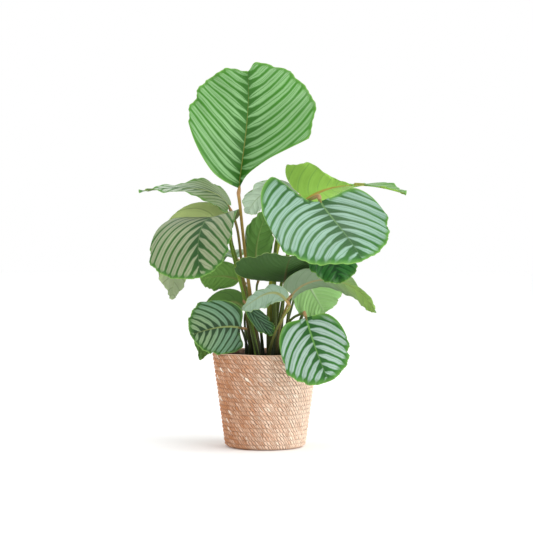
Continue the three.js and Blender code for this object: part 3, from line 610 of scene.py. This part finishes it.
def rope_wall(around):
    """The outside of the wall, rows of twisted rope, as grids of radius, height, tone, depth and
    turn. The radius is the cone's plus ROW_RELIEF sqrt(1 - (2 row - 1)^2) plus STRAND_RELIEF
    sin(pi strand)^0.7, where row is the share of a row's height and strand that of a strand's
    width. Each column of points follows one strand: as it climbs it turns by STRAND_LEAN strand
    widths in a row, as the arc sine of row does, which is how a strand wound round a rope looks
    from the side. Two sines and a random start make the rows uneven."""
    w = np.arange(around) / around
    k = np.arange(ROPE_ROWS * ROW_POINTS + 1)
    row_share = (k % ROW_POINTS) / ROW_POINTS
    row_number = np.minimum(k // ROW_POINTS, ROPE_ROWS - 1)
    z = WEAVE_MARGIN + k / ROW_POINTS * ROW_HEIGHT
    tuck = FOOT_ROUNDING * FOOT_TUCK * np.clip(1 - z / FOOT_ROUNDING, 0, 1) ** 2
    row_bulge = np.sqrt(np.clip(1 - (2 * row_share - 1) ** 2, 0, 1))[:, None]
    wound = k // ROW_POINTS + np.arcsin(2 * row_share - 1) / math.pi + 0.5
    shift = wound * STRAND_LEAN + RANDOM.uniform(-0.5, 0.5, ROPE_ROWS)[row_number]
    uneven = np.sin(TURN * (7 * w + 0.31 * row_number[:, None]))
    uneven = uneven + np.sin(TURN * (19 * w + 0.73 * row_number[:, None]))
    turn = w - (shift[:, None] + UNEVEN * uneven) / ROPE_STRANDS

    strand = np.arange(around)[None, :] // STRAND_POINTS
    across = np.sin(math.pi * (np.arange(around) % STRAND_POINTS / STRAND_POINTS))[None, :]
    swell = 1 + 0.3 * RANDOM.uniform(-1, 1, (ROPE_ROWS, ROPE_STRANDS))
    tone = RANDOM.uniform(0, 1, (ROPE_ROWS, ROPE_STRANDS))[row_number[:, None], strand]
    # painted light: the strands turn paler towards the right side, where the key light falls, and darker
    # tan on the shaded left
    lit_side = 0.5 + 0.5 * np.sin(TURN * (turn + 0.27))
    tone = np.where(tone > 0.96, 1.4, 0.4 * tone + 0.7 * lit_side - 0.05)
    strands = across ** 0.7 * (0.25 + 0.75 * row_bulge) * swell[row_number[:, None], strand]
    relief = ROW_RELIEF * row_bulge + STRAND_RELIEF * strands
    radius = (basket_cone(z) - STRAND_BED - tuck)[:, None] + relief
    # depth is highest on a strand's crest and 0 between strands; the finish paints a highlight and groove
    # shade by it
    depth = (0.6 + 0.4 * row_bulge) * across
    return radius, z[:, None] + rim_lift(turn, z[:, None]), tone, depth, turn


def basket_piece():
    """One closed skin carried round the axis: the flat underside, the wall of rope, the rounded
    lip, the inside with its top rows of rope, and the floor. Each is a profile of radius and
    height, set on the turns that the wall's columns have where it meets them."""
    around = ROPE_STRANDS * STRAND_POINTS
    wall = rope_wall(around)

    def turned(profile, shade, turn):
        """A profile carried round, in the same grids as the wall's."""
        r, z = (np.array(v)[:, None] * np.ones(around) for v in zip(*profile))
        return r, z + rim_lift(turn, z), np.full_like(r, 0.5), shade + 0 * r, turn + 0 * r

    rim, foot = BASKET_RIM_RADIUS, BASKET_FOOT_RADIUS
    lip = [(rim - 1.5 - LIP_DEPTH * (1 - math.cos(q)), BASKET_HEIGHT - 1.3 + LIP_RISE * math.sin(q))
           for q in np.linspace(0.4, math.pi - 0.5, 5)]
    inside = []
    for row in range(INSIDE_ROWS):
        for share, bulge in ((0.15, 0.0), (0.5, 1.0), (0.85, 0.0)):
            z = BASKET_HEIGHT - 2.5 - (row + share) * ROW_HEIGHT
            inside.append((basket_cone(z) - BASKET_WALL + 1.0 - bulge, z))
    for z in (120, 80, 40, 12, BASKET_FLOOR + 2):
        inside.append((basket_cone(z) - BASKET_WALL - 1.0, z))
    inside += [(foot - BASKET_WALL - 4, BASKET_FLOOR), (30, BASKET_FLOOR)]
    under = [(20, 0.0), (45, 0.0), (foot - FOOT_ROUNDING, 0.0), (foot - FOOT_ROUNDING * 0.62, 0.35)]
    # the shade inside deepens from just under the rim
    shaded = np.interp([z for _, z in inside], (BASKET_HEIGHT - 14, BASKET_HEIGHT - 3), (-0.6, 0.1))
    first_turn, last_turn = wall[-1][0], wall[-1][-1]
    parts = [turned(under, 0.5, first_turn), wall, turned(lip, 0.8, last_turn),
             turned(inside, shaded[:, None], last_turn)]
    r, z, tone, depth, turn = (np.concatenate([p[i] for p in parts]) for i in range(5))
    angle = TURN * turn
    points = np.stack((r * np.cos(angle), r * np.sin(angle), z), -1)
    rows = len(points)
    count = rows * around
    points = np.concatenate((points.reshape(-1, 3), ((0, 0, 0.0), (0, 0, BASKET_FLOOR))))
    quads = grid_faces(rows, around, around=True)
    ring = np.arange(around)
    following = np.roll(ring, -1)
    bottom = np.stack((following, ring, np.full(around, count)), -1)
    last = (rows - 1) * around
    floor = np.stack((last + ring, last + following, np.full(around, count + 1)), -1)
    layers = dict(tone=np.append(tone.ravel(), (0.5, 0.5)), depth=np.append(depth.ravel(), (0.5, 0.45)))
    piece = new_piece("basket_weave", points, (quads, bottom, floor), (SEAGRASS,), None, 70, layers)
    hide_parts("basket")
    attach(piece, "root")


def soil_piece():
    """A closed bed of potting soil: polar grid of radius and turn, raised by clods that are
    sums of sines of its x and y at three sizes, over a plain cone side and floor."""
    # the sides follow the pot's inner wall, a little inside it
    bottom = BASKET_FLOOR + POT_WALL + SOIL_GAP
    pot_top = BASKET_FLOOR + POT_HEIGHT - 0.7
    slope = (POT_RIM_RADIUS - POT_LIP - POT_FOOT_RADIUS) / (pot_top - bottom)
    inner = POT_FOOT_RADIUS - POT_WALL - 0.3
    top_radius = inner + slope * (SOIL_TOP - bottom) - 0.8
    around = 150
    share = np.linspace(0.02, 1, 46)[:, None]
    angle = (np.arange(around) / around * TURN)[None, :]
    x, y = share * top_radius * np.cos(angle), share * top_radius * np.sin(angle)
    clods = 0
    for size, span in CLODS:
        ridges = np.sin(x / span + 3.1 * np.sin(y / (1.7 * span)))
        furrows = np.cos(y / span + 2.3 * np.sin(x / (1.3 * span)))
        clods = clods + size * ridges * furrows
    z = SOIL_TOP - CLOD_SINK + clods * np.clip((1 - share) * 12, 0, 1)
    top = np.stack((x, y, z), -1)[::-1]
    side = np.stack([np.stack((r * np.cos(angle[0]), r * np.sin(angle[0]), np.full(around, h)), -1)
                     for r, h in ((20, bottom), (inner - 0.4, bottom))])
    points = np.concatenate((side, top)).reshape(-1, 3)
    rows = 2 + len(share)
    quads = grid_faces(rows, around, around=True)
    caps = (np.arange(around)[None, ::-1], np.arange(around)[None] + (rows - 1) * around)
    piece = new_piece("soil_bed", points, (quads, *caps), (SOIL,), None, 60)
    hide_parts("soil")
    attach(piece, "root")


# ------------------------------------------------------------------------------ finishes
class Finish:
    """A node material for one of the plant's finishes, with short calls for its nodes."""

    def __init__(self, name, roughness, **sockets):
        self.material = bpy.data.materials.new(name)
        self.material.use_nodes = True
        self.nodes = self.material.node_tree.nodes
        self.links = self.material.node_tree.links
        self.skin = self.nodes["Principled BSDF"]
        self.skin.inputs["Roughness"].default_value = roughness
        for key, value in sockets.items():
            self.skin.inputs[key.replace("_", " ")].default_value = value

    def join(self, value, socket):
        """Set a socket to a number or a colour, or link another socket to it."""
        if isinstance(value, (int, float, tuple, list)):
            socket.default_value = value
        else:
            self.links.new(value, socket)

    def layer(self, name, output="Fac"):
        """One of the piece's own attributes."""
        node = self.nodes.new("ShaderNodeAttribute")
        node.attribute_name = name
        return node.outputs[output]

    def math(self, kind, one, two=0.0):
        node = self.nodes.new("ShaderNodeMath")
        node.operation = kind
        self.join(one, node.inputs[0])
        self.join(two, node.inputs[1])
        return node.outputs[0]

    def ramp(self, value, low, high, to_low=0.0, to_high=1.0):
        """A smooth step of the value from low to high, giving to_low to to_high."""
        node = self.nodes.new("ShaderNodeMapRange")
        node.interpolation_type = "SMOOTHSTEP"
        for v, socket in zip((value, low, high, to_low, to_high), node.inputs):
            self.join(v, socket)
        return node.outputs[0]

    def vector(self, x, y, z=0.0):
        node = self.nodes.new("ShaderNodeCombineXYZ")
        for v, socket in zip((x, y, z), node.inputs):
            self.join(v, socket)
        return node.outputs[0]

    def place(self):
        """Where the point is on the object, in metres."""
        return self.nodes.new("ShaderNodeTexCoord").outputs["Object"]

    def noise(self, where, scale, detail=3.0, rough=0.5):
        """Cloudy noise from 0 to 1, in cells 1 / scale across."""
        node = self.nodes.new("ShaderNodeTexNoise")
        self.join(where, node.inputs["Vector"])
        node.inputs["Scale"].default_value = scale
        node.inputs["Detail"].default_value = detail
        node.inputs["Roughness"].default_value = rough
        return node.outputs["Fac"]

    def mix(self, share, one, two, kind="MIX"):
        """One colour going over into another as share goes from 0 to 1."""
        node = self.nodes.new("ShaderNodeMix")
        node.data_type = "RGBA"
        node.blend_type = kind
        self.join(share, node.inputs[0])
        self.join(one, node.inputs[6])
        self.join(two, node.inputs[7])
        return node.outputs[2]

    def shade(self, colour, low, high, amount):
        """The colour made darker or lighter: times low to high as amount goes 0 to 1."""
        node = self.nodes.new("ShaderNodeHueSaturation")
        self.join(colour, node.inputs["Color"])
        self.join(self.ramp(amount, 0.0, 1.0, low, high), node.inputs["Value"])
        return node.outputs["Color"]

    def relief(self, height, strength, distance):
        """Fine bumps, distance in metres."""
        node = self.nodes.new("ShaderNodeBump")
        node.inputs["Strength"].default_value = strength
        node.inputs["Distance"].default_value = distance
        self.links.new(height, node.inputs["Height"])
        self.links.new(node.outputs["Normal"], self.skin.inputs["Normal"])

    def colour(self, colour):
        """Take the colour as the skin's, and give the finished material."""
        self.links.new(colour, self.skin.inputs["Base Color"])
        return self.material


def blade_face():
    """The upper face: silvery bands between the veins, pointed at the midrib and faded before
    the margin, with streaks along the veins, a thin line up each band, a pale midrib and a
    bright thin edge."""
    f = Finish("leaf_upper_face", 0.45, Specular_IOR_Level=0.3)
    phase, reach = f.layer("phase"), f.layer("reach")
    edge, to_rib, length = f.layer("edge"), f.layer("to_rib"), f.layer("length")
    where = f.vector(f.math("MULTIPLY", phase, 9.0), f.math("MULTIPLY", reach, 2.6))
    streaks = f.noise(where, 1.0, 3.0, 0.6)
    broad = f.noise(f.place(), 14.0, 2.0)
    wander = f.noise(f.vector(f.math("MULTIPLY", phase, 0.9), f.math("MULTIPLY", reach, 3.0)), 1.0, 2.0)
    shifted = f.math("ADD", phase, f.math("MULTIPLY", f.math("SUBTRACT", wander, 0.5), 0.3))
    across = f.math("SUBTRACT", f.math("FRACT", shifted), 0.5)
    off = f.math("ABSOLUTE", across)
    taper = f.ramp(f.math("DIVIDE", edge, f.layer("fade")), 0.3, 1.6, 0.0, 1.0)
    opened = f.math("POWER", f.math("MINIMUM", f.layer("spread"), 1.0), 0.55)
    width = f.math("MULTIPLY", opened, f.math("ADD", 0.1, f.math("MULTIPLY", taper, 0.25)))
    soft = f.math("SUBTRACT", width, f.math("MULTIPLY", f.math("SUBTRACT", streaks, 0.5), 0.12))
    gap = f.math("SUBTRACT", soft, off)
    band = f.ramp(gap, -0.08, 0.11)
    # two fine green lines run up each band, where a slow noise puts them
    cell = f.math("MULTIPLY", f.math("FLOOR", shifted), 3.7)
    lines = []
    for seed in (2.5, 7.5):
        middle = f.noise(f.vector(cell, f.math("MULTIPLY", reach, 0.8), seed), 1.0, 1.0)
        middle = f.math("MULTIPLY", f.math("SUBTRACT", middle, 0.5), 1.1)
        lines.append(f.math("ABSOLUTE", f.math("SUBTRACT", across, middle)))
    line = f.ramp(f.math("MINIMUM", *lines), 0.01, 0.045, f.layer("lines"), 0.0)
    band = f.math("MULTIPLY", band, f.math("SUBTRACT", 1.0, line))
    band = f.math("MULTIPLY", band, f.math("ADD", 0.45, f.math("MULTIPLY", taper, 0.55)))
    ground = f.mix(f.ramp(reach, 0.0, 0.6), paint(COOL_TINT), paint(WARM_TINT))
    ground = f.mix(1.0, f.layer("ground", "Color"), ground, "MULTIPLY")
    ground = f.shade(ground, 0.95, 1.35, reach)
    ground = f.shade(ground, 0.72, 1.2, streaks)
    silver = f.shade(f.layer("silver", "Color"), 0.84, 1.14, streaks)
    colour = f.mix(band, ground, silver)
    colour = f.shade(colour, 0.88, 1.12, broad)
    rib = f.math("SUBTRACT", 1.9, f.math("MULTIPLY", length, 1.3))
    rib = f.ramp(f.math("SUBTRACT", rib, to_rib), -0.5, 0.5)
    rib = f.math("MULTIPLY", rib, f.ramp(length, 0.2, 0.9, 0.8, 0.25))
    colour = f.mix(rib, colour, f.layer("rib_tint", "Color"))
    lime = f.math("MULTIPLY", f.ramp(edge, 1.5, 11.0, 1.0, 0.0), f.layer("lime"))
    colour = f.mix(lime, colour, paint(LIME_MARGIN))
    colour = f.mix(f.ramp(edge, 0.4, 2.6, 0.55, 0.0), colour, paint(BRIGHT_EDGE))
    f.relief(f.math("ADD", f.math("MULTIPLY", streaks, 0.5), f.ramp(off, 0.40, 0.5)), 0.35, 0.0006)
    f.join(f.ramp(broad, 0.2, 0.8, 0.34, 0.48), f.skin.inputs["Roughness"])
    return f.colour(colour)


def blade_back():
    """The underside: matt and paler, with a darker line at each vein and a raised midrib."""
    f = Finish("leaf_underside", 0.6, Specular_IOR_Level=0.3)
    phase, reach = f.layer("phase"), f.layer("reach")
    to_rib, length, edge = f.layer("to_rib"), f.layer("length"), f.layer("edge")
    streaks = f.noise(f.vector(f.math("MULTIPLY", phase, 6.0), f.math("MULTIPLY", reach, 2.5)), 1.0, 3.0)
    broad = f.noise(f.place(), 16.0, 2.0)
    off = f.math("ABSOLUTE", f.math("SUBTRACT", f.math("FRACT", phase), 0.5))
    vein = f.math("MULTIPLY", f.ramp(off, 0.40, 0.5), f.ramp(reach, 0.0, 0.15))
    colour = f.shade(f.layer("under", "Color"), 0.9, 1.08, streaks)
    colour = f.shade(colour, 0.86, 1.12, broad)
    colour = f.mix(f.math("MULTIPLY", vein, 0.35), colour, f.layer("ground", "Color"))
    rib = f.math("SUBTRACT", 2.6, f.math("MULTIPLY", length, 1.7))
    rib = f.ramp(f.math("SUBTRACT", rib, to_rib), -0.5, 0.6)
    rib = f.math("MULTIPLY", rib, f.ramp(length, 0.1, 0.8, 0.8, 0.3))
    colour = f.mix(rib, colour, f.layer("rib_tint", "Color"))
    colour = f.mix(f.ramp(edge, 0.6, 1.6, 0.5, 0.0), colour, paint(PALE_EDGE))
    f.relief(f.math("ADD", f.math("MULTIPLY", streaks, 0.6), vein), 0.3, 0.0006)
    return f.colour(colour)


def stem_skin():
    """Smooth petiole: its own tint along the stem with faint lengthwise streaks."""
    f = Finish("petiole_skin", 0.45, Specular_IOR_Level=0.2)
    share, turn = f.layer("share"), f.layer("turn")
    around = f.vector(f.math("SINE", turn), f.math("COSINE", turn), f.math("MULTIPLY", share, 3.0))
    streaks = f.noise(around, 2.5, 4.0)
    spots = f.noise(f.place(), 160.0, 2.0)
    colour = f.shade(f.layer("tint", "Color"), 0.75, 1.25, streaks)
    colour = f.shade(colour, 0.92, 1.08, spots)
    f.relief(streaks, 0.2, 0.0005)
    return f.colour(colour)


def seagrass():
    """Dry seagrass rope: each strand has its own straw colour, paler towards the right side with painted
    light, and fibres run along it. The strands' crests carry a painted highlight, the grooves between
    strands and rows are darkened with painted shade, and so is the inside under the rim."""
    f = Finish("seagrass_rope", 0.6, Specular_IOR_Level=0.5)
    tone, depth = f.layer("tone"), f.layer("depth")
    where = f.nodes.new("ShaderNodeMapping")
    where.inputs["Scale"].default_value = (1.0, 1.0, 1.6)
    f.links.new(f.place(), where.inputs["Vector"])
    fibre = f.noise(where.outputs["Vector"], 900.0, 3.0, 0.65)
    patch = f.noise(f.place(), 22.0, 2.0)
    # tone is random per strand plus the painted light of the right side
    colour = f.mix(f.ramp(tone, 0.0, 1.0), paint(TAN_STRAW), paint(PALE_STRAW))
    colour = f.mix(f.ramp(tone, 1.2, 1.3, 0.0, 0.6), colour, paint(BLEACHED_STRAW))
    # painted highlight on the strands' crests and painted shade down their sides, by depth
    colour = f.shade(colour, 0.9, 1.12, depth)
    colour = f.shade(colour, 0.8, 1.16, fibre)
    colour = f.shade(colour, 0.9, 1.1, patch)
    # painted shade in the grooves between strands and rows, made patchy by a noise
    shade_patches = f.ramp(f.noise(f.place(), 150.0, 2.0), 0.35, 0.65, 0.4, 1.0)
    groove = f.math("MULTIPLY", f.ramp(depth, 0.0, 0.75, 0.95, 0.0), shade_patches)
    colour = f.mix(groove, colour, paint(ROPE_GROOVE_SHADE))
    colour = f.mix(f.ramp(depth, -0.6, 0.0, 0.85, 0.0), colour, paint(BASKET_SHADE))
    f.relief(fibre, 0.5, 0.0008)
    return f.colour(colour)


def soil_finish():
    """Damp potting soil: dark crumbs, brown fibres and a few pale grains."""
    f = Finish("potting_soil", 0.95, Specular_IOR_Level=0.15)
    crumbs = f.noise(f.place(), 260.0, 5.0, 0.7)
    fibres = f.noise(f.place(), 70.0, 3.0)
    colour = f.mix(crumbs, paint(SOIL_DARK), paint(SOIL_BROWN))
    colour = f.mix(f.ramp(fibres, 0.55, 0.8, 0.0, 0.5), colour, paint(SOIL_FIBRE))
    colour = f.mix(f.ramp(f.noise(f.place(), 420.0, 1.0), 0.74, 0.78), colour, paint(SOIL_GRAIN))
    f.relief(crumbs, 0.9, 0.002)
    return f.colour(colour)


def pot_finish():
    """Thin black moulded plastic, a little scuffed."""
    f = Finish("nursery_pot_plastic", 0.45, Specular_IOR_Level=0.45)
    grain = f.noise(f.place(), 500.0, 3.0)
    scuff = f.noise(f.place(), 35.0, 4.0, 0.7)
    colour = f.mix(f.ramp(scuff, 0.45, 0.8, 0.0, 0.5), paint(POT_BLACK), paint(POT_SCUFF))
    f.join(f.ramp(scuff, 0.3, 0.8, 0.38, 0.62), f.skin.inputs["Roughness"])
    f.relief(grain, 0.25, 0.0004)
    return f.colour(colour)


def floor_finish():
    """Plain pale studio floor."""
    f = Finish("pale_floor", 0.9, Specular_IOR_Level=0.1)
    cloud = f.noise(f.place(), 1.5, 2.0)
    return f.colour(f.mix(cloud, paint((254, 254, 254)), paint((255, 255, 255))))


RANDOM = np.random.default_rng(11)
BLADE_FACE = blade_face()
BLADE_BACK = blade_back()
STEM_SKIN = stem_skin()
SEAGRASS = seagrass()
SOIL = soil_finish()

for known in LEAVES:
    leaf = {**PLAIN_LEAF, **known}
    leaf_piece(leaf)
    stem_piece(leaf)
basket_piece()
soil_piece()

pot = bpy.data.objects["grow_pot"]
pot_plastic = pot_finish()
for slot in pot.material_slots:
    slot.material = pot_plastic

# ------------------------------------------------------------------------------ studio
FLOOR_REACH = 9  # metres from the middle, as are the other numbers of the studio
FLOOR_DROP = 0.0005
SUBJECT = (0, 0, 0.3)
WHITE = (1.0, 1.0, 1.0, 1.0)
LENS = 127.9  # mm, on a sensor 36 mm wide

floor_mesh = bpy.data.meshes.new("studio_floor")
corners = [(x * FLOOR_REACH, y * FLOOR_REACH, -FLOOR_DROP) for x, y in ((-1, -1), (1, -1), (1, 1), (-1, 1))]
floor_mesh.from_pydata(corners, [], [(0, 1, 2, 3)])
floor_mesh.materials.append(floor_finish())
floor = bpy.data.objects.new("studio_floor", floor_mesh)
bpy.context.scene.collection.objects.link(floor)

world = bpy.data.worlds.new("studio")
world.use_nodes = True
world.node_tree.nodes["Background"].inputs["Color"].default_value = WHITE
world.node_tree.nodes["Background"].inputs["Strength"].default_value = 1.0
bpy.context.scene.world = world
bpy.context.scene.view_settings.view_transform = "Standard"


def soft_light(name, place, aim, size, power):
    """A square soft light, size metres wide, that looks from its place at its aim."""
    data = bpy.data.lights.new(name, "AREA")
    data.size = size
    data.energy = power
    lamp = bpy.data.objects.new(name, data)
    lamp.location = place
    lamp.rotation_euler = (Vector(aim) - Vector(place)).to_track_quat("-Z", "Y").to_euler()
    bpy.context.scene.collection.objects.link(lamp)


soft_light("key", (2.7, -1.4, 1.9), SUBJECT, 3.2, 70)
soft_light("top", (-0.3, 0.6, 3.0), SUBJECT, 1.4, 15)

lens = bpy.data.cameras.new("photo_camera")
lens.lens = LENS
lens.sensor_width = 36
lens.clip_end = 60
camera = bpy.data.objects.new("photo_camera", lens)
camera.location = VIEWER * 0.001
camera.rotation_euler = (Vector(AIM * 0.001) - camera.location).to_track_quat("-Z", "Y").to_euler()
bpy.context.scene.collection.objects.link(camera)
bpy.context.scene.camera = camera
